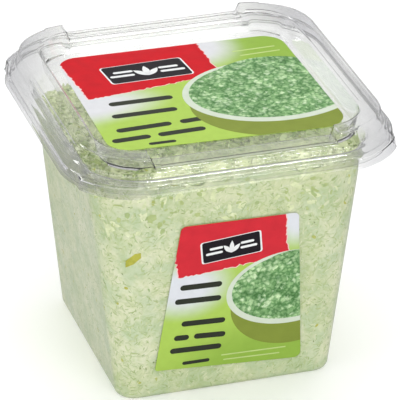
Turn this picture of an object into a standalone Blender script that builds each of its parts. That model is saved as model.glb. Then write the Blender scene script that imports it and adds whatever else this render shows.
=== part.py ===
"""A square clear tub of coleslaw with its snap lid and its two labels.

The tub stands on z = 0 with the middle of its base at the origin, and its labelled wall faces -Y.
Sizes are in millimetres, and MM turns them into metres where points are made.
"""

import math

import bmesh
import bpy
from mathutils import Vector

MM = 0.001

# Tub: a tapered square shell whose corners grow rounder towards the rim.
TUB_THICKNESS = 0.7
BASE_HALF = 48.5
BASE_RADIUS = 8.5
BASE_RECESS = 1.2
WALL_TOP_HALF = 61.25
WALL_TOP_RADIUS = 24.2
WALL_TOP_Z = 109.6
TAPER = (WALL_TOP_HALF - BASE_HALF) / WALL_TOP_Z

# Lid and rim: their corner arcs share four upright centre lines, and the skirt's corners are
# centred further out, which makes the tabs that the lid is pulled off by.
CORNER_CENTRE = 40.0
LID_THICKNESS = 0.6
RAIL_TOP = 126.9
STEP_TOP = 122.9
PANEL_TOP = 117.4
NOTCH_HALF = 41.4
NOTCH_RUN = 0.9
TAB_CENTRE = 44.8
CORNER_STEPS = 8

# Coleslaw: fills the tub to an uneven level below the lid, which falls towards the back.
FIT_GAP = 0.3
SLAW_INSET = TUB_THICKNESS + FIT_GAP + 0.06
SLAW_BOTTOM = 2.3
SLAW_LEVEL = 104.0
SLAW_FALL = 0.07
SLAW_SHOULDER = 1.6
SLAW_SIDE_STATIONS = (-0.8, -0.4, 0.0, 0.4, 0.8)
SLAW_TOP_RINGS = (0.9, 0.75, 0.6, 0.45, 0.3, 0.15)

# Labels: thin plates, each a rounded quadrilateral.
LABEL_THICKNESS = 0.4
LABEL_GAP = 0.3
LABEL_ARC_STEPS = 6
LID_LABEL_CORNERS = ((-50.1, -39.8), (54.8, -43.7), (53.7, 48.9), (-48.9, 51.0))
LID_LABEL_RADII = (10.0, 11.0, 10.0, 9.0)
FRONT_LABEL_CORNERS = ((-33.8, 14.3), (33.0, 10.0), (26.9, 87.2), (-25.4, 88.2))
FRONT_LABEL_RADII = (1.2, 3.0, 2.4, 2.6)


def clear_scene():
    """Remove whatever the scene holds."""
    for item in list(bpy.data.objects):
        bpy.data.objects.remove(item, do_unlink=True)


def make_material(name, colour, roughness, alpha=1.0, transmission=0.0):
    """A Principled material of one colour."""
    material = bpy.data.materials.new(name)
    material.use_nodes = True
    shader = material.node_tree.nodes["Principled BSDF"]
    shader.inputs["Base Color"].default_value = (*colour, 1.0)
    shader.inputs["Roughness"].default_value = roughness
    shader.inputs["Metallic"].default_value = 0.0
    shader.inputs["Alpha"].default_value = alpha
    shader.inputs["Transmission Weight"].default_value = transmission
    return material


def outline(half, centre, stations=(), steps=CORNER_STEPS):
    """Points round a rounded square, counter-clockwise from its front side.

    half is the distance from the middle to a side, centre is how far out each corner's arc is
    centred, and stations are the extra points along each side. A station past the straight
    stretch lies on the arc, and the rest of the arc's points start beyond it.
    """
    radius = half - centre
    past = max(max(stations, default=0.0) - centre, 0.0)
    skip = 0.0
    if stations:
        skip = math.asin((past + NOTCH_RUN) / radius)
    points = []
    for quarter in range(4):
        cosine, sine = ((1, 0), (0, 1), (-1, 0), (0, -1))[quarter]
        side = []
        for station in stations:
            over = max(abs(station) - centre, 0.0)
            side.append((station, -centre - math.sqrt(radius ** 2 - over ** 2)))
        for step in range(steps + 1):
            angle = skip + (math.pi / 2 - 2 * skip) * step / steps
            side.append((centre + radius * math.sin(angle), -centre - radius * math.cos(angle)))
        points += [(x * cosine - y * sine, x * sine + y * cosine) for x, y in side]
    return points


def level_ring(half, centre, height, stations=()):
    """A rounded square at one height."""
    return [(x, y, height) for x, y in outline(half, centre, stations)]


def loft(name, rings, cap_start=False, cap_end=False):
    """An object made of bands between rings that all have the same number of points."""
    mesh = bmesh.new()
    loops = [[mesh.verts.new(Vector(point) * MM) for point in ring] for ring in rings]
    count = len(rings[0])
    for lower, upper in zip(loops, loops[1:]):
        for index in range(count):
            following = (index + 1) % count
            mesh.faces.new((lower[index], lower[following], upper[following], upper[index]))
    if cap_start:
        mesh.faces.new(list(reversed(loops[0])))
    if cap_end:
        mesh.faces.new(loops[-1])
    data = bpy.data.meshes.new(name)
    mesh.to_mesh(data)
    mesh.free()
    data.shade_smooth()
    data.set_sharp_from_angle(angle=math.radians(35))
    return bpy.data.objects.new(name, data)


def thicken(shell, thickness):
    """Give an open surface its thickness on the inner side."""
    modifier = shell.modifiers.new("wall", "SOLIDIFY")
    modifier.thickness = thickness * MM
    modifier.offset = -1.0
    modifier.use_even_offset = True


def wall_half(height):
    """Half-width of the tub's outer wall at a height."""
    return BASE_HALF + TAPER * height


def wall_radius(height):
    """Corner radius of the tub's outer wall at a height."""
    return BASE_RADIUS + (WALL_TOP_RADIUS - BASE_RADIUS) * height / WALL_TOP_Z


def make_tub():
    """The tub: recessed base, foot, tapered wall, flange and turned-down lip."""
    foot = ((38.0, 5.0, BASE_RECESS), (39.6, 6.0, 0.0), (46.7, 6.9, 0.0), (47.9, 8.0, 0.5))
    rings = [level_ring(half, half - radius, z) for half, radius, z in foot]
    for z in (1.7, 0.5 * WALL_TOP_Z, WALL_TOP_Z):
        rings.append(level_ring(wall_half(z), wall_half(z) - wall_radius(z), z))
    rim = ((61.9, 37.6, 112.4), (62.9, 38.3, 114.1), (64.8, 39.2, 115.1), (66.8, CORNER_CENTRE, 115.3),
           (69.6, CORNER_CENTRE, 115.3), (70.7, CORNER_CENTRE, 114.8), (71.2, CORNER_CENTRE, 112.9))
    rings += [level_ring(*ring) for ring in rim]
    tub = loft("tub", rings, cap_start=True)
    thicken(tub, TUB_THICKNESS)
    return tub


def notched_ring(high, low):
    """A lid ring at one (half, z) on the rails and another in the front and back notches."""
    rail = lid_ring(*high)
    step = lid_ring(*low)
    ring = []
    for rail_point, step_point in zip(rail, step):
        x, y, z = step_point
        in_notch = abs(x) < NOTCH_HALF - NOTCH_RUN / 2 and abs(y) > abs(x)
        ring.append(step_point if in_notch else rail_point)
    return ring


def lid_ring(half, height, centre=CORNER_CENTRE):
    """A level lid ring, with points at the ends of the notches."""
    stations = (-NOTCH_HALF, NOTCH_RUN - NOTCH_HALF, NOTCH_HALF - NOTCH_RUN, NOTCH_HALF)
    return level_ring(half, centre, height, stations)


def make_lid():
    """The lid: sunken panel, rails that stop at the notches, bead, shoulder and tabbed skirt."""
    rings = [
        lid_ring(55.6, PANEL_TOP),
        lid_ring(56.5, PANEL_TOP + 0.5),
        notched_ring((58.0, RAIL_TOP - 1.0), (58.7, STEP_TOP - 0.8)),
        notched_ring((58.6, RAIL_TOP), (59.5, STEP_TOP)),
        notched_ring((66.7, RAIL_TOP), (67.3, STEP_TOP)),
        notched_ring((67.4, RAIL_TOP - 0.6), (67.9, STEP_TOP - 0.5)),
        lid_ring(69.0, 120.6),
        lid_ring(70.2, 119.6),
        lid_ring(71.9, 117.6),
        lid_ring(72.5, 116.8),
        lid_ring(72.8, 116.3, TAB_CENTRE),
        lid_ring(73.1, 113.2, TAB_CENTRE),
        lid_ring(73.4, 112.6, TAB_CENTRE),
    ]
    lid = loft("lid", [list(reversed(ring)) for ring in rings], cap_start=True)
    thicken(lid, LID_THICKNESS)
    return lid


def slaw_height(x, y):
    """Height of the uneven top at a place."""
    ripple = math.sin(0.11 * x + 0.6) * math.cos(0.09 * y - 0.4)
    hummock = math.sin(0.23 * x - 0.17 * y + 1.1) * math.cos(0.21 * y + 0.5)
    return SLAW_LEVEL - SLAW_FALL * y + 1.1 * ripple + 0.7 * hummock


def make_coleslaw():
    """The filling: straight against the wall, with a rounded shoulder and an uneven top."""
    rings = []
    for z, inset in ((SLAW_BOTTOM, 1.7), (SLAW_BOTTOM + 1.5, 0.0), (0.5 * SLAW_LEVEL, 0.0)):
        rings.append(slaw_ring(z, SLAW_INSET + inset))
    rings.append(slaw_edge(SLAW_SHOULDER, SLAW_INSET))
    shoulder = slaw_edge(0.0, SLAW_INSET + SLAW_SHOULDER)
    rings.append(shoulder)
    for part in SLAW_TOP_RINGS:
        inner = [(x * part, y * part) for x, y, z in shoulder]
        rings.append([(x, y, slaw_height(x, y)) for x, y in inner])
    return loft("coleslaw", rings, cap_start=True, cap_end=True)


def slaw_ring(height, inset):
    """A level ring of the filling, inset from the tub's outer wall."""
    half = wall_half(height) - inset
    centre = wall_half(height) - wall_radius(height)
    stations = [part * centre for part in SLAW_SIDE_STATIONS]
    return level_ring(half, centre, height, stations)


def slaw_edge(drop, inset):
    """A ring of the filling that runs beside the sloping wall, a drop below the uneven top."""
    level = slaw_ring(SLAW_LEVEL, inset)
    heights = [slaw_height(x, y) - drop for x, y, z in level]
    return [slaw_ring(z, inset)[index] for index, z in enumerate(heights)]


def rounded_polygon(corners, radii, steps=LABEL_ARC_STEPS):
    """Points of a polygon whose corners are arcs, counter-clockwise."""
    points = []
    count = len(corners)
    for index, (corner, radius) in enumerate(zip(corners, radii)):
        here = Vector(corner)
        before = (Vector(corners[index - 1]) - here).normalized()
        after = (Vector(corners[(index + 1) % count]) - here).normalized()
        half_angle = before.angle(after) / 2
        middle = here + (before + after).normalized() * radius / math.sin(half_angle)
        start = here + before * radius / math.tan(half_angle) - middle
        turn = math.pi - 2 * half_angle
        for step in range(steps + 1):
            angle = turn * step / steps
            cosine, sine = math.cos(angle), math.sin(angle)
            points.append(middle + Vector((start.x * cosine - start.y * sine,
                                           start.x * sine + start.y * cosine)))
    return points


def make_plate(name, corners, radii):
    """A flat plate of the labels' thickness, from its outline."""
    curve = bpy.data.curves.new(name, "CURVE")
    curve.dimensions = "2D"
    curve.fill_mode = "BOTH"
    curve.extrude = 0.5 * LABEL_THICKNESS * MM
    points = rounded_polygon(corners, radii)
    spline = curve.splines.new("POLY")
    spline.points.add(len(points) - 1)
    for target, point in zip(spline.points, points):
        target.co = (point.x * MM, point.y * MM, 0.0, 1.0)
    spline.use_cyclic_u = True
    return bpy.data.objects.new(name, curve)


def make_lid_label():
    """The large label, lying on the lid's sunken panel."""
    label = make_plate("lid_label", LID_LABEL_CORNERS, LID_LABEL_RADII)
    label.location.z = (PANEL_TOP + LABEL_GAP + 0.5 * LABEL_THICKNESS) * MM
    return label


def make_front_label():
    """The label on the front wall, leaning out with the wall's taper."""
    lean = math.atan(TAPER)
    corners = [(x, z / math.cos(lean)) for x, z in FRONT_LABEL_CORNERS]
    label = make_plate("front_label", corners, FRONT_LABEL_RADII)
    label.rotation_euler.x = math.pi / 2 + lean
    standoff = LABEL_GAP + 0.5 * LABEL_THICKNESS
    label.location.y = -(BASE_HALF + standoff * math.cos(lean)) * MM
    label.location.z = -standoff * math.sin(lean) * MM
    return label


def build():
    """Make every piece with its material, in one collection."""
    clear_scene()
    collection = bpy.data.collections.new("coleslaw_tub")
    bpy.context.scene.collection.children.link(collection)
    clear_plastic = make_material("clear_plastic", (0.95, 0.96, 0.95), 0.06, 0.35, 0.9)
    chopped_cabbage = make_material("chopped_cabbage", (0.62, 0.72, 0.40), 0.55)
    printed_film = make_material("printed_film", (0.45, 0.66, 0.10), 0.30)
    pieces = (
        (make_tub(), clear_plastic),
        (make_lid(), clear_plastic),
        (make_coleslaw(), chopped_cabbage),
        (make_lid_label(), printed_film),
        (make_front_label(), printed_film),
    )
    for piece, material in pieces:
        piece.data.materials.append(material)
        collection.objects.link(piece)


build()
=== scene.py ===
import math

import bpy
import numpy as np
from mathutils import Matrix, Vector, noise


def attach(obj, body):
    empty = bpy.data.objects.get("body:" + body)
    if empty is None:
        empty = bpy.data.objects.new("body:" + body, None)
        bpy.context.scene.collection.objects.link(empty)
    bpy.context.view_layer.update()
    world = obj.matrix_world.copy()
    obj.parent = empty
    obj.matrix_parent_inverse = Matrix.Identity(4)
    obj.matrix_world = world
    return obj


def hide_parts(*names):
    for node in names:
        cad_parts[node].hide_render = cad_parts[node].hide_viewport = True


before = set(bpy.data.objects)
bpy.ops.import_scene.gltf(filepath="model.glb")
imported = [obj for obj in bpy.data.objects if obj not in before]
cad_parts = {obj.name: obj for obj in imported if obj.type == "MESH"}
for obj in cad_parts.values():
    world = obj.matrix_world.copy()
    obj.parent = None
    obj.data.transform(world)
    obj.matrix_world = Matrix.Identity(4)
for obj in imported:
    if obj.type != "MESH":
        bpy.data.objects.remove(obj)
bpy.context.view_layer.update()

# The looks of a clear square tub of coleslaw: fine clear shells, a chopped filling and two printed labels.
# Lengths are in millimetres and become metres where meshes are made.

MM = 0.001
BODY = "root"

# Camera: where it looks from, in degrees and metres.
AZIMUTH = -18.48
ELEVATION = 28.28
ROLL = 0.96
AIM = (0.0020, -0.0007, 0.0669)
DISTANCE = 1.5566
LENS_MM = 320.1

# Tub, as in the CAD model.
TUB_THICKNESS = 0.7
BASE_HALF = 48.5
BASE_RADIUS = 8.5
BASE_RECESS = 1.2
WALL_TOP_HALF = 61.25
WALL_TOP_RADIUS = 24.2
WALL_TOP_Z = 109.6
TAPER = (WALL_TOP_HALF - BASE_HALF) / WALL_TOP_Z

# Lid: corners, heights, thickness and notches as in the CAD model. The run of the notches' ends, the tabs,
# the boxes beside the notches (pilasters) and the panel's waves are finer than it has.
CORNER_CENTRE = 40.0
LID_THICKNESS = 0.6
RAIL_TOP = 126.9
STEP_TOP = 122.9
PANEL_TOP = 117.4
NOTCH_HALF = 41.4
NOTCH_RUN = 1.8
TAB_START = math.radians(7.5)
TAB_END = math.radians(64.5)
TAB_RUN = math.radians(8.0)
TAB_REACH = 1.9
TAB_TOP = 117.4
TAB_FULL = 116.6
PILASTER_END = 49.4
PILASTER_RUN = 0.7
PILASTER_STEP = 0.8
PILASTER_TURNS = (math.radians(30.0), math.radians(60.0))
PILASTER_HEIGHTS = (121.0, 122.6)
RAIL_MIDDLE = 63.0
RAIL_SHIFT = 0.3
PANEL_WAVE = 0.15

# Clear plastic: how far out, in metres, each of its three tints is reached. The second and third tints are
# painted shade: greyer plastic at the rails and corners.
PLASTIC_REACHES = (0.052, 0.068, 0.090)

# Filling: its level, its fall for each millimetre to the back, how far its body reaches into the wall, and
# its foot, as heights and distances in from the outer wall.
SLAW_LEVEL = 104.0
SLAW_FALL = 0.07
SLAW_IN_WALL = 0.12
SLAW_FOOT = ((1.75, 8.1), (0.6, 7.6), (0.6, 2.25), (1.1, 1.05))
SLAW_FOOT_TOP = 2.0
SLAW_STATIONS = 360
SLAW_SIDE_RINGS = 78
SLAW_TOP_RINGS = 62

# Chopped pieces at the wall. Near the foot they are no longer than a share of their height above a level.
WALL_PIECE_THICKNESS = 0.5
WALL_PIECE_THICKEST = 0.9
WALL_PIECE_IN_WALL = (0.15, 0.22)
WALL_PIECE_TILT = 0.005
WALL_PIECE_UNEVEN = 0.01
LOWEST_PIECE = 2.5
LOW_PIECE_SHARE = 1.6
LOW_PIECE_CLEAR = 0.6

# Chopped pieces on the top, which are a little larger.
TOP_PIECE_GROWTH = (1.25, 1.2)
TOP_PIECE_THICKNESS = 0.8
TOP_PIECE_TILT = 0.35
TOP_PIECE_UNEVEN = 0.15

# The largest piece that shows: its turn round the tub, height and slope, and its size.
CHUNK_PLACE = (0.9825, 73.9, math.radians(50))
CHUNK_SIZE = (13.6, 5.0, 0.8)
CHUNK_IN_WALL = 0.26

# Labels: outlines as in the CAD model, the thickness of the film and of each printed layer, and how far
# each film stands off the plastic.
LID_LABEL_CORNERS = ((-50.1, -39.8), (54.8, -43.7), (53.7, 48.9), (-48.9, 51.0))
LID_LABEL_RADII = (10.0, 11.0, 10.0, 9.0)
FRONT_LABEL_CORNERS = ((-33.8, 14.3), (33.0, 10.0), (26.9, 87.2), (-25.4, 88.2))
FRONT_LABEL_RADII = (1.2, 3.0, 2.4, 2.6)
FILM = 0.14
INK = 0.03
LID_LABEL_GAP = 0.12
FRONT_LABEL_GAP = 0.01

# Points along each side and round each corner of the tub and lid.
SIDE_STATIONS = 16
ARC_STEPS = 56


# Meshes

def mesh_object(name, vertices, faces, material, smooth=40.0):
    """An object from points in millimetres, shaded smooth except across sharp edges."""
    data = bpy.data.meshes.new(name)
    data.from_pydata((np.asarray(vertices, float) * MM).tolist(), [], faces)
    data.update()
    data.shade_smooth()
    data.set_sharp_from_angle(angle=math.radians(smooth))
    data.materials.append(material)
    piece = bpy.data.objects.new(name, data)
    bpy.context.scene.collection.objects.link(piece)
    return piece


def rounded_square(half, centre, height):
    """Points round a rounded square, counter-clockwise, closest together where the arcs begin."""
    along = np.sin(np.linspace(-0.5, 0.5, SIDE_STATIONS) * math.pi) * centre
    share = 0.5 - 0.5 * np.cos(np.pi * np.arange(1, ARC_STEPS) / ARC_STEPS)
    angle = share * math.pi / 2
    radius = half - centre
    x = np.concatenate([along, centre + radius * np.sin(angle)])
    y = np.concatenate([np.full(SIDE_STATIONS, -half), -centre - radius * np.cos(angle)])
    sides = []
    for cosine, sine in ((1, 0), (0, 1), (-1, 0), (0, -1)):
        sides.append(np.stack([x * cosine - y * sine, x * sine + y * cosine], 1))
    flat = np.concatenate(sides)
    return np.column_stack([flat, np.full(len(flat), height)])


def fillet(profile, radius, steps=4):
    """A profile of (half, centre, z) points with each inner corner rounded."""
    profile = np.asarray(profile, float)
    smooth = [profile[0]]
    for before, here, after in zip(profile, profile[1:], profile[2:]):
        back, ahead = before - here, after - here
        back_run = math.hypot(back[0], back[2])
        ahead_run = math.hypot(ahead[0], ahead[2])
        cut = min(radius, 0.48 * back_run, 0.48 * ahead_run)
        start = here + back * cut / back_run
        end = here + ahead * cut / ahead_run
        for t in np.linspace(0, 1, steps):
            smooth.append(start * (1 - t) ** 2 + here * 2 * t * (1 - t) + end * t ** 2)
    smooth.append(profile[-1])
    return np.array(smooth)


def offset_profile(profile, distance):
    """The profile moved sideways, to the left of its direction, by a distance."""
    profile = np.asarray(profile, float)
    runs = np.diff(profile[:, [0, 2]], axis=0)
    runs /= np.linalg.norm(runs, axis=1)[:, None]
    normals = np.stack([-runs[:, 1], runs[:, 0]], 1)
    before = np.vstack([normals[:1], normals])
    after = np.vstack([normals, normals[-1:]])
    mitre = (before + after) / (1 + (before * after).sum(1))[:, None]
    moved = profile.copy()
    moved[:, 0] += mitre[:, 0] * distance
    moved[:, 2] += mitre[:, 1] * distance
    return moved


def closed_loft(name, rings, material, smooth=40.0):
    """A closed body: bands between rings, with a flat cap inside the first and the last."""
    count = len(rings[0])
    faces = []
    for level in range(len(rings) - 1):
        low, high = level * count, (level + 1) * count
        for index in range(count):
            following = (index + 1) % count
            faces.append((low + index, low + following, high + following, high + index))
    faces.append(tuple(range(count))[::-1])
    faces.append(tuple(range((len(rings) - 1) * count, len(rings) * count)))
    return mesh_object(name, np.concatenate(rings), faces, material, smooth)


def smooth_step(value, low, high):
    """0 below low, 1 above high and a smooth rise between."""
    t = np.clip((value - low) / (high - low), 0, 1)
    return t * t * (3 - 2 * t)


# Nodes

class Nodes:
    """Short names for building a material's node tree."""

    def __init__(self, name):
        self.material = bpy.data.materials.new(name)
        self.material.use_nodes = True
        self.tree = self.material.node_tree
        self.shader = self.tree.nodes["Principled BSDF"]
        self.output = self.tree.nodes["Material Output"]

    def add(self, kind, inputs=None, **settings):
        """A node with its settings, and values or links for its inputs."""
        node = self.tree.nodes.new("ShaderNode" + kind)
        for key, value in settings.items():
            setattr(node, key, value)
        for key, value in (inputs or {}).items():
            self.put(node.inputs[key], value)
        return node

    def put(self, socket, value):
        """Link an output to an input, or set the input's value."""
        if isinstance(value, bpy.types.NodeSocket):
            self.tree.links.new(value, socket)
        else:
            socket.default_value = value

    def set(self, **inputs):
        """Set or link the Principled shader's inputs, with _ for a space."""
        for key, value in inputs.items():
            self.put(self.shader.inputs[key.replace("_", " ")], value)

    def place(self):
        """Object coordinates, in metres."""
        return self.add("TexCoord").outputs["Object"]

    def noise(self, scale, detail=3.0, place=None):
        """Noise with features of about 1 / scale metres."""
        node = self.add("TexNoise", {"Scale": scale, "Detail": detail})
        self.put(node.inputs["Vector"], place or self.place())
        return node.outputs["Fac"]

    def ramp(self, factor, stops):
        """Colours along a factor, each stop a (position, sRGB colour of 0 to 255)."""
        node = self.add("ValToRGB", {"Fac": factor})
        elements = node.color_ramp.elements
        while len(elements) < len(stops):
            elements.new(0.5)
        for element, (position, colour) in zip(elements, stops):
            element.position = position
            element.color = rgb(colour)
        return node.outputs["Color"]

    def mix(self, factor, first, second, blend="MIX"):
        """A mix of two colours."""
        node = self.add("Mix", data_type="RGBA", blend_type=blend)
        self.put(node.inputs["Factor"], factor)
        self.put(node.inputs["A"], first)
        self.put(node.inputs["B"], second)
        return node.outputs["Result"]

    def tinted(self, colour, factor, low, high, dark, light=(255, 255, 255)):
        """A colour multiplied by a tint that goes from dark to light as a factor goes from low to high."""
        return self.mix(1.0, colour, self.ramp(factor, [(low, dark), (high, light)]), "MULTIPLY")

    def bump(self, height, distance, strength=1.0):
        """A bump of a height in metres."""
        node = self.add("Bump", {"Height": height, "Distance": distance, "Strength": strength})
        return node.outputs["Normal"]


def rgb(colour):
    """A linear colour with alpha from sRGB values of 0 to 255."""
    linear = []
    for value in colour:
        share = value / 255
        linear.append(share / 12.92 if share <= 0.04045 else ((share + 0.055) / 1.055) ** 2.4)
    return (*linear, 1.0)


def clear_plastic(name, tint, rail_shade_tint, corner_shade_tint, gloss):
    """Clear glossy plastic that lets light through to what it holds.

    Its colour is painted a little greyer at the left and right rails, and greyer still at the corners:
    painted shade.
    """
    nodes = Nodes(name)
    parts = nodes.add("SeparateXYZ", {"Vector": nodes.place()})
    across = nodes.add("Math", {0: parts.outputs["X"]}, operation="ABSOLUTE").outputs["Value"]
    along = nodes.add("Math", {0: parts.outputs["Y"]}, operation="ABSOLUTE").outputs["Value"]
    reach = nodes.add("Math", {0: along, 1: 0.35, 2: across}, operation="MULTIPLY_ADD").outputs["Value"]
    # Painted shade: the colour greys from the middle out to the rails and corners.
    tone = nodes.ramp(reach, list(zip(PLASTIC_REACHES, (tint, rail_shade_tint, corner_shade_tint))))
    nodes.set(Base_Color=tone, Roughness=0.02, IOR=1.35, Transmission_Weight=1.0)
    nodes.set(Coat_Weight=gloss, Coat_Roughness=0.03, Coat_IOR=1.5)
    ripple = nodes.noise(60.0, 2.0)
    nodes.set(Normal=nodes.bump(ripple, 0.0004, 0.14))
    clear = nodes.add("BsdfTransparent", {"Color": rgb((255, 255, 255))})
    path = nodes.add("LightPath")
    inner = nodes.add("MixShader", {"Fac": path.outputs["Is Shadow Ray"]})
    outer = nodes.add("MixShader", {"Fac": path.outputs["Is Diffuse Ray"]})
    for mixer, shader in ((inner, nodes.shader.outputs["BSDF"]), (outer, inner.outputs["Shader"])):
        nodes.tree.links.new(shader, mixer.inputs[1])
        nodes.tree.links.new(clear.outputs["BSDF"], mixer.inputs[2])
    nodes.tree.links.new(outer.outputs["Shader"], nodes.output.inputs["Surface"])
    return nodes.material


# Clear tub and lid

def wall_half(height):
    """Half-width of the tub's outer wall at a height."""
    return BASE_HALF + TAPER * height


def wall_radius(height):
    """Corner radius of the tub's outer wall at a height."""
    return BASE_RADIUS + (WALL_TOP_RADIUS - BASE_RADIUS) * height / WALL_TOP_Z


def tub_profile():
    """The tub's outer profile: recessed base, foot, wall, flange and turned-down lip."""
    profile = [(38.0, 33.0, BASE_RECESS), (39.6, 33.6, 0.0), (46.7, 39.8, 0.0), (47.9, 39.9, 0.5)]
    for z in (1.9, 0.25 * WALL_TOP_Z, 0.5 * WALL_TOP_Z, 0.75 * WALL_TOP_Z, WALL_TOP_Z):
        profile.append((wall_half(z), wall_half(z) - wall_radius(z), z))
    profile += [(61.9, 37.6, 112.4), (62.9, 38.3, 114.1), (64.8, 39.2, 115.1),
                (66.8, CORNER_CENTRE, 115.3), (69.6, CORNER_CENTRE, 115.3),
                (70.7, CORNER_CENTRE, 114.8), (71.2, CORNER_CENTRE, 112.9)]
    return profile


def make_tub_shell(material):
    """The tub as a closed thin shell."""
    profile = tub_profile()
    outer = fillet(profile, 1.2, 5)
    inner = fillet(offset_profile(profile, TUB_THICKNESS), 0.9, 5)
    rings = [rounded_square(half, centre, z) for half, centre, z in outer]
    rings += [rounded_square(half, centre, z) for half, centre, z in inner[::-1]]
    return closed_loft("tub_shell", rings, material)


def lid_profiles():
    """The lid's outer profile through a rail, and through a notch, with the same points."""
    centre = CORNER_CENTRE
    panel = [(55.0, centre, PANEL_TOP), (56.0, centre, PANEL_TOP)]
    rail = [(57.9, centre, RAIL_TOP - 0.8), (58.7, centre, RAIL_TOP), (66.5, centre, RAIL_TOP),
            (67.4, centre, RAIL_TOP - 0.7)]
    step = [(58.4, centre, STEP_TOP - 0.8), (59.3, centre, STEP_TOP), (67.0, centre, STEP_TOP),
            (67.9, centre, STEP_TOP - 0.6)]
    rim = [(68.9, centre, 120.5), (70.3, centre, 120.1), (70.8, centre, 118.7), (71.9, centre, 117.5),
           (72.6, centre, 117.1), (72.8, centre, 116.2), (73.1, centre, 113.4), (73.6, centre, 112.6)]
    return panel + rail + rim, panel + step + rim


def lid_ring(rail, step, shift):
    """A lid ring between a rail point and a notch point of the profile.

    shift moves the rails' ends away from the notches, which gives their end walls a thickness.
    """
    high = rounded_square(*rail)
    low = rounded_square(*step)
    across, along = np.abs(high[:, 0]), np.abs(high[:, 1])
    on_rail = smooth_step(across - shift, NOTCH_HALF - NOTCH_RUN, NOTCH_HALF)
    on_rail = np.where(along > across, on_rail, 1.0)
    ring = low + (high - low) * on_rail[:, None]
    beyond_x, beyond_y = across - CORNER_CENTRE, along - CORNER_CENTRE
    angle = np.arctan2(beyond_x, beyond_y)
    tab = smooth_step(angle, TAB_START, TAB_START + TAB_RUN)
    tab *= 1 - smooth_step(angle, TAB_END - TAB_RUN, TAB_END)
    reach = tab * TAB_REACH * smooth_step(-ring[:, 2], -TAB_TOP, -TAB_FULL)
    recess = smooth_step(across, PILASTER_END, PILASTER_END + PILASTER_RUN)
    recess *= 1 - smooth_step(angle, *PILASTER_TURNS)
    outer_wall = smooth_step(high[:, 2], *PILASTER_HEIGHTS) * (rail[0] > RAIL_MIDDLE)
    reach -= PILASTER_STEP * recess * outer_wall * (along > CORNER_CENTRE)
    outward = np.stack([np.maximum(beyond_x, 0), np.maximum(beyond_y, 0)], 1)
    outward /= np.maximum(np.linalg.norm(outward, axis=1), 1e-9)[:, None]
    ring[:, :2] += np.sign(ring[:, :2]) * outward * reach[:, None]
    return ring


def panel_rings(edge):
    """Rings from near the middle of the sunken panel out to its edge, very slightly wavy."""
    rings = []
    for share in (0.04, 0.2, 0.4, 0.6, 0.8, 0.93):
        ring = edge.copy()
        ring[:, :2] *= share
        wave = np.sin(0.09 * ring[:, 0] + 1.0) * np.cos(0.11 * ring[:, 1])
        ring[:, 2] += PANEL_WAVE * wave * (1 - share)
        rings.append(ring)
    return rings


def make_lid_shell(material):
    """The lid as a closed thin shell: panel, rails, notches, rim and tabbed skirt."""
    rail, step = lid_profiles()
    inner_rail, inner_step = (offset_profile(side, -LID_THICKNESS) for side in (rail, step))
    top = [lid_ring(*pair, 0.0) for pair in zip(fillet(rail, 1.3, 6), fillet(step, 1.3, 6))]
    inner_pairs = zip(fillet(inner_rail, 0.9, 6), fillet(inner_step, 0.9, 6))
    under = [lid_ring(*pair, RAIL_SHIFT) for pair in inner_pairs]
    rings = panel_rings(top[0]) + top + under[::-1] + panel_rings(under[0])[::-1]
    return closed_loft("lid_shell", [ring[::-1] for ring in rings], material)


# Filling

def slaw_height(x, y):
    """Height of the uneven top at a place, as in the CAD model."""
    ripple = np.sin(0.11 * x + 0.6) * np.cos(0.09 * y - 0.4)
    hummock = np.sin(0.23 * x - 0.17 * y + 1.1) * np.cos(0.21 * y + 0.5)
    return SLAW_LEVEL - SLAW_FALL * y + 1.1 * ripple + 0.7 * hummock


def wall_place(turn, height, inset):
    """Points on the inside of the tub's wall, and the directions along it, up it and out of it.

    turn goes from 0 to 1 round the tub, and inset is the distance in from the outer face.
    """
    half, radius = wall_half(height), wall_radius(height)
    centre = half - radius
    quarter = np.floor(turn * 4).astype(int) % 4
    run = (turn * 4 - np.floor(turn * 4)) * (2 * centre + radius * math.pi / 2)
    angle = np.maximum(run - 2 * centre, 0) / radius
    x = np.where(angle > 0, centre + (radius - inset) * np.sin(angle), run - centre)
    y = -centre - (radius - inset) * np.cos(angle)
    cosine = np.array([1, 0, -1, 0])[quarter]
    sine = np.array([0, 1, 0, -1])[quarter]
    lean = 1 / math.hypot(1, TAPER)
    place = np.stack([x * cosine - y * sine, x * sine + y * cosine, height], 1)
    along = np.stack([np.cos(angle) * cosine - np.sin(angle) * sine,
                      np.cos(angle) * sine + np.sin(angle) * cosine, np.zeros_like(x)], 1)
    level_out = np.stack([along[:, 1], -along[:, 0], np.zeros_like(x)], 1)
    up = (level_out * TAPER + (0, 0, 1)) * lean
    out = (level_out - np.array((0, 0, TAPER))) * lean
    return place, along, up, out


def wall_level(turn):
    """Height of the filling's uneven top against the wall, round the tub."""
    place = wall_place(turn, np.full(len(turn), SLAW_LEVEL), TUB_THICKNESS)[0]
    return slaw_height(place[:, 0], place[:, 1])


def relief(points, size, seed):
    """Noise at each point, with features of about a size."""
    offset = Vector((seed * 17.3, seed * 5.1, seed * 9.7))
    return np.array([noise.noise(Vector(point) / size + offset) for point in points])


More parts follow.
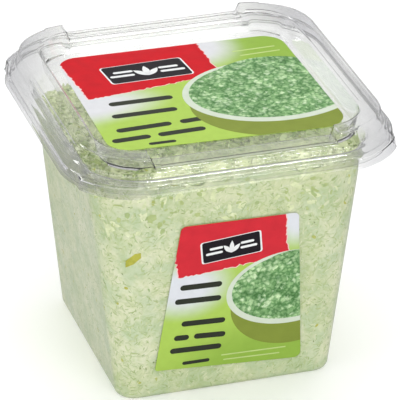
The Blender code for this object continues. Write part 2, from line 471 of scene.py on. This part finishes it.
def make_slaw_core(material):
    """The filling's body: it reaches just into the wall and down into the foot, and its top is rough."""
    turn = np.arange(SLAW_STATIONS) / SLAW_STATIONS
    level = np.full(SLAW_STATIONS, SLAW_LEVEL)
    around = wall_place(turn, level, TUB_THICKNESS)[0]
    edge_height = wall_level(turn) + 0.6 + 1.4 * relief(around, 4.0, 5)
    rings = [wall_place(turn, np.full(SLAW_STATIONS, height), inset)[0] for height, inset in SLAW_FOOT]
    for share in np.linspace(0, 1, SLAW_SIDE_RINGS):
        height = SLAW_FOOT_TOP + (edge_height - SLAW_FOOT_TOP) * share
        place, _, _, out = wall_place(turn, height, TUB_THICKNESS - SLAW_IN_WALL)
        rings.append(place + out * (0.03 * relief(place, 1.6, 1))[:, None])
    edge = rings[-1].copy()
    for share in np.concatenate([[0.985], np.linspace(0.965, 0.02, SLAW_TOP_RINGS)]):
        ring = edge.copy()
        ring[:, :2] *= share
        coarse = relief(ring * (1, 1, 0), 5.0, 2)
        fine = relief(ring * (1, 1, 0), 1.8, 3)
        ring[:, 2] = slaw_height(ring[:, 0], ring[:, 1]) + 1.1 * coarse + 0.7 * fine - 0.6
        rings.append(ring)
    return closed_loft("slaw_core", rings, material, 70.0)


def sliver_mesh(name, places, axes, sizes, uneven, random, material):
    """Many chopped slivers as one mesh: six-sided flakes with uneven, tapered outlines.

    uneven is the share of its thickness by which each sliver's faces rise and fall.
    """
    count = len(places)
    angles = np.arange(6) * math.pi / 3
    outline = np.stack([np.cos(angles), np.sin(angles)], 1)
    outline = outline[None] * random.uniform(0.72, 1.12, (count, 6, 1))
    bend = random.uniform(-0.25, 0.25, (count, 1))
    flat = outline * sizes[:, None, :2] * 0.5
    flat[..., 1] += bend * sizes[:, :1] * outline[..., 0] ** 2
    layers = []
    for side, shrink in ((-1, 0.9), (1, 0.86)):
        height = side * 0.5 * sizes[:, 2:] * (1 + uneven[:, None] * random.uniform(-1, 1, (count, 6)))
        local = np.concatenate([flat * shrink, height[..., None]], 2)
        layers.append(np.einsum("nkj,nji->nki", local, axes) + places[:, None])
    points = np.concatenate(layers, 1).reshape(-1, 3)
    pattern = [(5, 4, 3, 2, 1, 0), (6, 7, 8, 9, 10, 11)]
    pattern += [(i, (i + 1) % 6, (i + 1) % 6 + 6, i + 6) for i in range(6)]
    faces = [tuple(index + 12 * piece for index in face) for piece in range(count) for face in pattern]
    return mesh_object(name, points, faces, material, 30.0)


def turned_axes(along, up, out, random, tilt):
    """Axes of slivers that lie on a surface, turned anyhow and tilted a little."""
    count = len(along)
    turn = random.uniform(0, math.pi, count)[:, None]
    length = along * np.cos(turn) + up * np.sin(turn)
    length += out * random.normal(0, tilt, (count, 1))
    length /= np.linalg.norm(length, axis=1)[:, None]
    normal = out + along * random.normal(0, tilt, (count, 1))
    normal -= length * (normal * length).sum(1)[:, None]
    normal /= np.linalg.norm(normal, axis=1)[:, None]
    width = np.cross(normal, length)
    return np.stack([length, width, normal], 1)


def sliver_sizes(random, count, length, width, thickness):
    """Length, width and thickness of each sliver, spread round the given middles."""
    sizes = np.stack([np.full(count, value) for value in (length, width, thickness)], 1)
    return sizes * np.exp(random.normal(0, 0.32, (count, 3)))


def make_slivers(name, seed, on_walls, on_top, size, material, lowest=LOWEST_PIECE):
    """One kind of chopped piece, pressed against the walls above a height and loose on the top."""
    random = np.random.default_rng(seed)
    length, width = size
    turn = random.uniform(0, 1, on_walls)
    highest = wall_level(turn) + random.uniform(-1.5, 0.8, on_walls)
    height = lowest + (highest - lowest) * random.uniform(0, 1, on_walls)
    sizes = sliver_sizes(random, on_walls, length, width, WALL_PIECE_THICKNESS)
    sizes[:, 0] = np.minimum(sizes[:, 0], LOW_PIECE_SHARE * (height - LOW_PIECE_CLEAR))
    sizes[:, 2] = np.minimum(sizes[:, 2], WALL_PIECE_THICKEST)
    place, along, up, out = wall_place(turn, height, TUB_THICKNESS)
    in_wall = random.uniform(*WALL_PIECE_IN_WALL, on_walls)
    place += out * (in_wall - 0.5 * sizes[:, 2])[:, None]
    wall_axes = turned_axes(along, up, out, random, WALL_PIECE_TILT)

    x, y = random.uniform(-1, 1, (2, on_top)) * (wall_half(SLAW_LEVEL) - 3.0)
    corner = wall_half(SLAW_LEVEL) - wall_radius(SLAW_LEVEL)
    inside = np.hypot(np.maximum(abs(x) - corner, 0), np.maximum(abs(y) - corner, 0))
    keep = inside < wall_radius(SLAW_LEVEL) - 2.5
    x, y = x[keep], y[keep]
    longer, wider = TOP_PIECE_GROWTH
    top_sizes = sliver_sizes(random, len(x), length * longer, width * wider, TOP_PIECE_THICKNESS)
    rise = random.uniform(-0.5, 1.0, len(x))
    top_place = np.stack([x, y, slaw_height(x, y) + rise], 1)
    level = np.tile(np.eye(3), (len(x), 1, 1))
    top_axes = turned_axes(level[:, 0], level[:, 1], level[:, 2], random, TOP_PIECE_TILT)
    uneven = np.concatenate([np.full(on_walls, WALL_PIECE_UNEVEN), np.full(len(x), TOP_PIECE_UNEVEN)])
    return sliver_mesh(name, np.concatenate([place, top_place]), np.concatenate([wall_axes, top_axes]),
                       np.concatenate([sizes, top_sizes]), uneven, random, material)


def make_big_chunk(material):
    """One large piece of a yellow-green leaf, pressed flat against the front corner of the wall."""
    random = np.random.default_rng(3)
    turn, height, slope = CHUNK_PLACE
    place, along, up, out = wall_place(np.array([turn]), np.array([height]), TUB_THICKNESS)
    length = along * math.cos(slope) + up * math.sin(slope)
    axes = np.stack([length, np.cross(out, length), out], 1)
    place += out * (CHUNK_IN_WALL - 0.5 * CHUNK_SIZE[2])
    return sliver_mesh("yellow_green_leaf", place, axes, np.array([CHUNK_SIZE]), np.array([0.02]), random,
                       material)


def slaw_material(name, tints):
    """Moist chopped cabbage: each piece has its own tint, mottled with dressing."""
    nodes = Nodes(name)
    piece = nodes.add("NewGeometry").outputs["Random Per Island"]
    stops = [(index / (len(tints) - 1), tint) for index, tint in enumerate(tints)]
    tint = nodes.tinted(nodes.ramp(piece, stops), nodes.noise(420.0, 4.0), 0.35, 0.65, (232, 236, 224))
    nodes.set(Base_Color=tint, Roughness=0.42)
    nodes.set(Normal=nodes.bump(nodes.noise(900.0, 4.0), 0.0002, 0.5))
    return nodes.material


def core_material():
    """The body of the filling: cream dressing full of very fine green bits and soft wisps."""
    nodes = Nodes("slaw_body")
    wisps = nodes.add("TexNoise", {"Scale": 260.0, "Detail": 5.0, "Roughness": 0.6, "Distortion": 1.4})
    nodes.put(wisps.inputs["Vector"], nodes.place())
    tint = nodes.ramp(wisps.outputs["Fac"], [(0.3, (199, 210, 160)), (0.45, (214, 220, 180)),
                                             (0.6, (226, 228, 199)), (0.75, (209, 217, 173))])
    tint = nodes.tinted(tint, nodes.noise(95.0, 3.0), 0.38, 0.62, (228, 240, 232))
    tint = nodes.tinted(tint, nodes.noise(32.0, 3.0), 0.35, 0.65, (240, 244, 228))
    nodes.set(Base_Color=tint, Roughness=0.45)
    nodes.set(Normal=nodes.bump(wisps.outputs["Fac"], 0.0004, 0.6))
    return nodes.material


# Labels

def rounded_polygon(corners, radii, steps=10):
    """Points of a polygon whose corners are arcs, counter-clockwise."""
    points = []
    count = len(corners)
    for index, (corner, radius) in enumerate(zip(corners, radii)):
        here = Vector(corner)
        before = (Vector(corners[index - 1]) - here).normalized()
        after = (Vector(corners[(index + 1) % count]) - here).normalized()
        half_angle = before.angle(after) / 2
        middle = here + (before + after).normalized() * radius / math.sin(half_angle)
        start = here + before * radius / math.tan(half_angle) - middle
        turn = math.pi - 2 * half_angle
        for step in range(steps + 1):
            angle = turn * step / steps
            cosine, sine = math.cos(angle), math.sin(angle)
            points.append((middle.x + start.x * cosine - start.y * sine,
                           middle.y + start.x * sine + start.y * cosine))
    return points


def ellipse(centre, radii, steps=72):
    """Points round an ellipse, counter-clockwise."""
    angles = np.arange(steps) * 2 * math.pi / steps
    return [(centre[0] + radii[0] * math.cos(a), centre[1] + radii[1] * math.sin(a)) for a in angles]


def bar(start, end, width, steps=6):
    """A straight bar with round ends."""
    start, end = Vector(start), Vector(end)
    heading = math.atan2(end.y - start.y, end.x - start.x)
    points = []
    for middle, turned in ((end, -math.pi / 2), (start, math.pi / 2)):
        for step in range(steps + 1):
            angle = heading + turned + math.pi * step / steps
            points.append((middle.x + 0.5 * width * math.cos(angle),
                           middle.y + 0.5 * width * math.sin(angle)))
    return points


def clip(points, border):
    """The part of a shape inside a convex counter-clockwise border."""
    for first, second in zip(border, border[1:] + border[:1]):
        edge = (second[0] - first[0], second[1] - first[1])
        kept = []
        sides = [edge[0] * (p[1] - first[1]) - edge[1] * (p[0] - first[0]) for p in points]
        for index, point in enumerate(points):
            before, side_before, side = points[index - 1], sides[index - 1], sides[index]
            if side_before * side < 0:
                share = side_before / (side_before - side)
                kept.append((before[0] + (point[0] - before[0]) * share,
                             before[1] + (point[1] - before[1]) * share))
            if side >= 0:
                kept.append(point)
        points = kept
    return points


def torn(points, random, step=1.1, depth=0.32):
    """A closed outline with a torn, uneven edge."""
    rough = []
    for here, following in zip(points, points[1:] + points[:1]):
        run = math.hypot(following[0] - here[0], following[1] - here[1])
        count = max(int(run / step), 1)
        for index in range(count):
            share = index / count
            x = here[0] + (following[0] - here[0]) * share
            y = here[1] + (following[1] - here[1]) * share
            rough.append((x + random.normal(0, depth), y + random.normal(0, depth)))
    return rough


class LidSurface:
    """The lid's panel, in millimetres to the right and to the back."""

    name = "lid_label"
    border = rounded_polygon(LID_LABEL_CORNERS, LID_LABEL_RADII)

    @staticmethod
    def place(point, lift):
        return (point[0], point[1], PANEL_TOP + LID_LABEL_GAP + lift)


class FrontSurface:
    """The tub's front wall, in millimetres to the right and up."""

    name = "front_label"
    border = rounded_polygon(FRONT_LABEL_CORNERS, FRONT_LABEL_RADII)

    @staticmethod
    def place(point, lift):
        lean = math.atan(TAPER)
        off = FRONT_LABEL_GAP + lift
        return (point[0], -wall_half(point[1]) - off * math.cos(lean), point[1] - off * math.sin(lean))


def make_print(surface, name, shapes, layer, material):
    """Flat printed shapes on a label, as one mesh of thin closed plates."""
    base = 0.0 if layer == 0 else FILM - 0.5 * INK
    top = FILM if layer == 0 else FILM + layer * INK
    points, faces = [], []
    for shape in shapes:
        first, count = len(points), len(shape)
        points += [surface.place(point, base) for point in shape]
        points += [surface.place(point, top) for point in shape]
        faces.append(tuple(range(first + count - 1, first - 1, -1)))
        faces.append(tuple(range(first + count, first + 2 * count)))
        for index in range(count):
            following = (index + 1) % count
            faces.append((first + index, first + following, first + count + following,
                          first + count + index))
    piece = mesh_object(f"{surface.name}_{name}", points, faces, material, 30.0)
    return piece


def ink(name, colour, spread=0.06):
    """Printed ink on film: nearly even, with a faint grain and a soft gloss."""
    nodes = Nodes(name)
    darker = tuple(value * (1 - spread) for value in colour)
    tone = nodes.ramp(nodes.noise(160.0, 5.0), [(0.3, darker), (0.7, colour)])
    nodes.set(Base_Color=tone, Roughness=0.36, Specular_IOR_Level=0.1)
    nodes.set(Normal=nodes.bump(nodes.noise(1400.0, 2.0), 0.00004, 0.4))
    return nodes.material


def soft_spot(nodes, centre, radii):
    """1 at a centre, in millimetres, falling smoothly to 0 where the given radii end."""
    moved = nodes.add("VectorMath", {0: nodes.place(), 1: Vector(centre) * MM}, operation="SUBTRACT")
    scaled = nodes.add("VectorMath", {0: moved.outputs["Vector"], 1: Vector(radii) * MM}, operation="DIVIDE")
    run = nodes.add("VectorMath", {0: scaled.outputs["Vector"]}, operation="LENGTH").outputs["Value"]
    wobble = nodes.add("Math", {0: nodes.noise(30.0, 2.0), 1: 0.12}, operation="MULTIPLY").outputs["Value"]
    run = nodes.add("Math", {0: run, 1: wobble}, operation="ADD").outputs["Value"]
    limits = {"From Min": 0.35, "From Max": 1.05, "To Min": 1.0, "To Max": 0.0}
    fall = nodes.add("MapRange", {"Value": run, **limits}, interpolation_type="SMOOTHSTEP")
    return fall.outputs["Result"]


def ground_ink(name, white, white_spots, deep_spot):
    """The label's ground: lime that fades to white in some places and is deeper in another."""
    nodes = Nodes(name)
    tone = nodes.mix(soft_spot(nodes, *deep_spot), rgb((174, 206, 92)), rgb((148, 183, 74)))
    for spot in white_spots:
        tone = nodes.mix(soft_spot(nodes, *spot), tone, rgb(white))
    tone = nodes.tinted(tone, nodes.noise(300.0, 4.0), 0.3, 0.7, (249, 249, 249))
    nodes.set(Base_Color=tone, Roughness=0.36, Specular_IOR_Level=0.1)
    return nodes.material


def pictured_slaw(name):
    """Printed green slaw: small cells from dark to pale green, darker in soft patches."""
    nodes = Nodes(name)
    place = nodes.place()
    bend = nodes.add("TexNoise", {"Vector": place, "Scale": 340.0, "Detail": 2.0})
    shift = nodes.add("VectorMath", {0: bend.outputs["Color"], "Scale": 0.0026}, operation="SCALE")
    moved = nodes.add("VectorMath", {0: place, 1: shift.outputs["Vector"]}, operation="ADD")
    cells = nodes.add("TexVoronoi", {"Scale": 500.0, "Randomness": 1.0}, distance="MANHATTAN")
    nodes.put(cells.inputs["Vector"], moved.outputs["Vector"])
    shade = nodes.add("SeparateColor", {"Color": cells.outputs["Color"]}).outputs["Green"]
    tone = nodes.ramp(shade, [(0.0, (136, 181, 120)), (0.4, (172, 210, 152)), (0.8, (212, 238, 188)),
                              (1.0, (226, 243, 206))])
    tone = nodes.tinted(tone, cells.outputs["Distance"], 0.5, 1.1, (255, 255, 255), (170, 196, 174))
    tone = nodes.tinted(tone, nodes.noise(900.0, 4.0), 0.35, 0.65, (214, 224, 214))
    tone = nodes.tinted(tone, nodes.noise(150.0, 3.0), 0.38, 0.6, (212, 221, 215))
    nodes.set(Base_Color=tone, Roughness=0.36, Specular_IOR_Level=0.1)
    return nodes.material


def make_inks():
    """The inks of both labels, which share all but their red."""
    return {
        "lid_label_red": ink("deep_red_ink", (208, 10, 28)),
        "front_label_red": ink("red_ink", (214, 46, 58)),
        "pale_red": ink("pale_edge_ink", (250, 206, 206)),
        "dark": ink("dark_ink", (34, 30, 36)),
        "words": ink("word_ink", (52, 56, 46)),
        "white": ink("white_ink", (238, 240, 240), 0.03),
        "rim": ink("bowl_rim_ink", (214, 224, 206), 0.04),
        "bowl": ink("bowl_ink", (134, 149, 62), 0.04),
        "pale_lime": ink("pale_lime_ink", (196, 218, 140), 0.05),
        "slaw": pictured_slaw("pictured_slaw_ink"),
    }


def grown(points, amount):
    """An outline moved outwards by an amount, from its own middle."""
    middle = np.mean(points, 0)
    scaled = []
    for x, y in points:
        run = math.hypot(x - middle[0], y - middle[1])
        scaled.append((middle[0] + (x - middle[0]) * (1 + amount / run),
                       middle[1] + (y - middle[1]) * (1 + amount / run)))
    return scaled


def make_label(surface, ground, inks, banner, plate, motif, bowl, words, small_words):
    """A label: film, torn banner with a plain plate and motif, a bowl picture and bars for words."""
    random = np.random.default_rng(7)
    film = make_print(surface, "film", [surface.border], 0, ground)
    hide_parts(surface.name)
    banner_edge = clip(torn(banner, random), surface.border)
    pale_edge = clip(grown(banner_edge, 0.45), surface.border)
    rim, body, fill, heap = (clip(shape, surface.border) for shape in bowl)
    pieces = [
        film,
        make_print(surface, "banner_edge", [pale_edge], 1, inks["pale_red"]),
        make_print(surface, "banner", [banner_edge], 2, inks[surface.name + "_red"]),
        make_print(surface, "plate_rim", [grown(plate, 0.8)], 3, inks["white"]),
        make_print(surface, "plate", [plate], 4, inks["dark"]),
        make_print(surface, "motif", motif, 5, inks["white"]),
        make_print(surface, "bowl", [body], 1.5, inks["bowl"]),
        make_print(surface, "bowl_rim", [rim], 2.5, inks["rim"]),
        make_print(surface, "bowl_fill", [fill], 3.5, inks["slaw"]),
        make_print(surface, "bowl_heap", [heap], 4.5, inks["slaw"]),
        make_print(surface, "words", words, 0.6, inks["words"]),
        make_print(surface, "small_words", small_words, 1.8, inks["pale_lime"]),
    ]
    return pieces


def leaf(base, tip, width, steps=8):
    """A leaf with a pointed base and tip."""
    base, tip = Vector(base), Vector(tip)
    side = Vector((base.y - tip.y, tip.x - base.x)).normalized() * width
    points = []
    for start, end, turn in ((base, tip, -1), (tip, base, 1)):
        for step in range(steps):
            share = step / steps
            middle = start.lerp(end, share) + side * turn * math.sin(share * math.pi) * 0.5
            points.append((middle.x, middle.y))
    return points


def sprig(middle, slope, size):
    """A plain motif: three leaves between pairs of bars, on a baseline that rises with a slope."""
    x, y = middle
    shapes = []
    for turn in (-0.75, 0.0, 0.75):
        reach = size * (1.0 - 0.12 * abs(turn))
        tip = (x + reach * math.sin(turn), y - 0.42 * size + reach * math.cos(turn))
        shapes.append(leaf((x, y - 0.45 * size), tip, 0.34 * size))
    for side in (-1, 1):
        for level, reach in ((0.2, 0.8), (-0.2, 1.05)):
            start, end = side * 0.75 * size, side * (0.75 + reach) * size
            low, high = sorted((start, end))
            shapes.append(bar((x + low, y + low * slope + level * size),
                              (x + high, y + high * slope + level * size), 0.2 * size))
    return shapes


def make_lid_label(inks):
    """The label on the lid. It casts no shadow, so the filling under it stays as light as the rest."""
    ground = ground_ink("lid_ground_ink", (222, 223, 226),
                        [((-47, 4, 118), (40, 21, 900)), ((14, 46, 118), (24, 26, 900)),
                         ((-56, 32, 118), (26, 60, 900))],
                        ((50, 30, 118), (40, 60, 900)))
    banner = [(-45.7, 9.8), (-31.0, 11.5), (-16.9, 13.4), (0.0, 15.8), (16.9, 19.3), (16.1, 33.5),
              (15.6, 53.0), (-30.0, 53.0), (-49.0, 53.0), (-47.8, 40.8), (-46.7, 27.2)]
    plate = rounded_polygon(((-31.0, 21.0), (5.4, 21.5), (3.8, 38.0), (-32.5, 37.0)), (1.5,) * 4)
    motif = sprig((-13.6, 29.2), 0.0, 9.0)
    bowl = (ellipse((33, -3), (39.5, 29.5)), ellipse((33, -14), (39.5, 32)),
            ellipse((33.3, -2), (36.6, 26.8)), ellipse((37, 3), (30, 25.5)))
    words = [bar((-37, 2.6), (-12, 2.4), 3.7), bar((-39, -8.8), (-13.5, -8.8), 3.7),
             bar((-41, -21.9), (-20, -21.2), 3.7), bar((-12.5, -21.0), (-5, -20.6), 3.7),
             bar((-45.5, -30.6), (-32, -30.2), 3.7), bar((-25.0, -30.0), (-7.5, -29.5), 3.7),
             bar((-32, -37.0), (-22.3, -37.2), 2.3)]
    small_words = [bar((29, 37.3), (48, 37.7), 0.9), bar((31, 32.6), (49, 33.2), 0.9)]
    pieces = make_label(LidSurface, ground, inks, banner, plate, motif, bowl, words, small_words)
    for piece in pieces:
        piece.visible_shadow = False
    return pieces


def make_front_label(inks):
    """The label on the front wall."""
    ground = ground_ink("front_ground_ink", (222, 225, 231),
                        [((-22, -55, 56), (26, 900, 19)), ((27, -58, 86), (14, 900, 20))],
                        ((20, -55, 12), (60, 900, 30)))
    banner = [(-25.5, 62.1), (-13.0, 62.8), (-0.4, 64.0), (12.0, 65.2), (23.7, 66.4), (21.9, 76.6),
              (21.0, 90.0), (-28.0, 90.0), (-26.8, 70.3)]
    plate = rounded_polygon(((-14.6, 67.7), (10.9, 70.1), (9.6, 80.6), (-15.9, 78.2)), (1.0,) * 4)
    motif = sprig((-2.4, 74.2), 0.09, 6.0)
    bowl = (ellipse((26, 49), (29.3, 19.2)), ellipse((27, 42), (28.0, 23.0)),
            ellipse((26.3, 49.6), (27.2, 17.2)), ellipse((27, 52), (22, 16)))
    words = [bar((-23, 56.4), (-7, 55.9), 2.8), bar((-25, 49.4), (-7, 48.6), 2.8),
             bar((-21.5, 37.3), (-4.5, 36.5), 2.8), bar((-24.5, 30.2), (-20.5, 30.0), 2.8),
             bar((-15.5, 29.8), (-4, 29.0), 2.8), bar((-26, 23.6), (-5.5, 22.8), 2.8),
             bar((-20.6, 16.2), (-10, 16.1), 1.8)]
    small_words = [bar((-3.6, 17.6), (25.3, 16.9), 0.6), bar((-2.5, 15.0), (22.7, 14.1), 0.6)]
    return make_label(FrontSurface, ground, inks, banner, plate, motif, bowl, words, small_words)


# Stage

def make_floor():
    """A large pale floor, which doesn't show in the plastic's gloss."""
    nodes = Nodes("pale_floor")
    tone = nodes.ramp(nodes.noise(3.0, 3.0), [(0.3, (248, 248, 248)), (0.7, (251, 251, 251))])
    nodes.set(Base_Color=tone, Roughness=0.7, Emission_Color=(1.0, 1.0, 1.0, 1.0), Emission_Strength=0.11)
    size = 3000.0
    corners = [(-size, -size, 0), (size, -size, 0), (size, size, 0), (-size, size, 0)]
    floor = mesh_object("floor", corners, [(0, 1, 2, 3)], nodes.material)
    floor.visible_glossy = False


def make_world():
    """Pale surroundings, brighter above than at the horizon."""
    world = bpy.data.worlds.new("studio")
    bpy.context.scene.world = world
    world.use_nodes = True
    tree = world.node_tree
    place = tree.nodes.new("ShaderNodeTexCoord")
    parts = tree.nodes.new("ShaderNodeSeparateXYZ")
    ramp = tree.nodes.new("ShaderNodeValToRGB")
    tree.links.new(place.outputs["Generated"], parts.inputs["Vector"])
    tree.links.new(parts.outputs["Z"], ramp.inputs["Fac"])
    tree.links.new(ramp.outputs["Color"], tree.nodes["Background"].inputs["Color"])
    elements = ramp.color_ramp.elements
    elements[0].position = 0.0
    elements[0].color = (0.72, 0.72, 0.72, 1)
    elements[1].position = 0.35
    elements[1].color = (1.0, 1.0, 1.0, 1)
    tree.nodes["Background"].inputs["Strength"].default_value = 0.68


def make_lamp(name, place, aim, size, power, lights=True):
    """A rectangular soft light that faces a point. One that lights nothing only shows in gloss."""
    lamp = bpy.data.lights.new(name, "AREA")
    lamp.shape = "RECTANGLE"
    lamp.size, lamp.size_y = size
    lamp.energy = power
    holder = bpy.data.objects.new(name, lamp)
    holder.location = place
    holder.visible_diffuse = lights
    heading = Vector(aim) - Vector(place)
    holder.rotation_euler = heading.to_track_quat("-Z", "Y").to_euler()
    bpy.context.scene.collection.objects.link(holder)


def make_camera():
    """The camera, at the viewing angle."""
    azimuth, elevation, roll = (math.radians(value) for value in (AZIMUTH, ELEVATION, ROLL))
    back = Vector((math.sin(azimuth) * math.cos(elevation), -math.cos(azimuth) * math.cos(elevation),
                   math.sin(elevation)))
    right = Vector((math.cos(azimuth), math.sin(azimuth), 0.0))
    up = back.cross(right)
    across = right * math.cos(roll) + up * math.sin(roll)
    upright = up * math.cos(roll) - right * math.sin(roll)
    camera = bpy.data.objects.new("camera", bpy.data.cameras.new("camera"))
    camera.data.lens = LENS_MM
    camera.data.sensor_width = 36.0
    camera.data.clip_start = 0.05
    turned = Matrix((across, upright, back)).transposed().to_4x4()
    camera.matrix_world = Matrix.Translation(Vector(AIM) + back * DISTANCE) @ turned
    bpy.context.scene.collection.objects.link(camera)
    bpy.context.scene.camera = camera


def make_stage():
    """Floor, surroundings, lights and camera."""
    bpy.context.scene.view_settings.view_transform = "Standard"
    cycles = bpy.context.scene.cycles
    cycles.max_bounces = 24
    cycles.transmission_bounces = 24
    cycles.transparent_max_bounces = 32
    make_floor()
    make_world()
    make_lamp("key", (0.1, -1.5, 1.2), (0, 0, 0.05), (1.4, 1.0), 7.4)
    make_lamp("left_fill", (-1.4, -0.3, 0.9), (0, 0, 0.05), (0.9, 0.9), 4.3)
    make_lamp("top", (0.1, 0.3, 1.6), (0, 0, 0.05), (1.4, 1.0), 8.2)
    make_lamp("front_strip", (0.45, -1.25, 1.4), (0, 0, 0.1), (1.0, 0.14), 20.0, lights=False)
    make_lamp("left_strip", (-0.5, 1.2, 1.3), (0, 0, 0.1), (1.0, 0.14), 3.0, lights=False)
    make_camera()


def make_coleslaw():
    """The filling: its body and the chopped pieces on it."""
    core = make_slaw_core(core_material())
    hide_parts("coleslaw")
    pale = slaw_material("pale_cabbage", [(213, 220, 181), (222, 226, 194), (205, 215, 169)])
    light = slaw_material("light_green_cabbage", [(189, 204, 147), (199, 212, 158), (181, 200, 143)])
    green = slaw_material("green_cabbage", [(172, 192, 128), (184, 202, 142), (164, 188, 134)])
    dark = slaw_material("dark_green_cabbage", [(116, 134, 76), (150, 168, 104), (138, 160, 108)])
    yellow = slaw_material("yellow_green_cabbage", [(190, 188, 62), (196, 202, 110), (178, 186, 84)])
    cream = slaw_material("cream_cabbage", [(230, 235, 196), (222, 230, 182), (234, 238, 204)])
    leaf_green = slaw_material("leaf_green_cabbage", [(176, 192, 120), (192, 206, 140), (166, 186, 124)])
    pieces = [
        core,
        make_slivers("pale_shreds", 11, 3800, 3000, (3.2, 0.9), pale),
        make_slivers("light_green_shreds", 12, 4200, 1300, (3.0, 0.6), light),
        make_slivers("green_shreds", 13, 2800, 400, (2.4, 0.45), green),
        make_slivers("dark_green_specks", 14, 170, 40, (1.3, 0.7), dark),
        make_slivers("yellow_green_bits", 15, 80, 60, (2.4, 1.6), yellow),
        # The cream chunks are real pale cabbage, but their great number on the top is painted light: it makes
        # the top lighter than the walls.
        make_slivers("cream_chunks", 16, 140, 1300, (5.0, 3.0), cream, 86.0),
        make_slivers("green_chunks", 17, 220, 380, (3.6, 2.2), leaf_green, 86.0),
        make_big_chunk(slaw_material("yellow_leaf", [(182, 178, 34), (190, 188, 60)])),
    ]
    return pieces


def make_shells():
    """The clear tub and lid."""
    # Each plastic's second and third colours are painted shade at the rails and corners.
    tub = make_tub_shell(clear_plastic("tub_plastic", (249, 250, 249), (244, 245, 244), (240, 240, 240), 0.2))
    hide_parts("tub")
    lid = make_lid_shell(clear_plastic("lid_plastic", (254, 254, 253), (240, 240, 240), (210, 210, 213), 0.4))
    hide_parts("lid")
    return [tub, lid]


make_stage()
inks = make_inks()
for piece in make_lid_label(inks) + make_shells() + make_coleslaw() + make_front_label(inks):
    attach(piece, BODY)
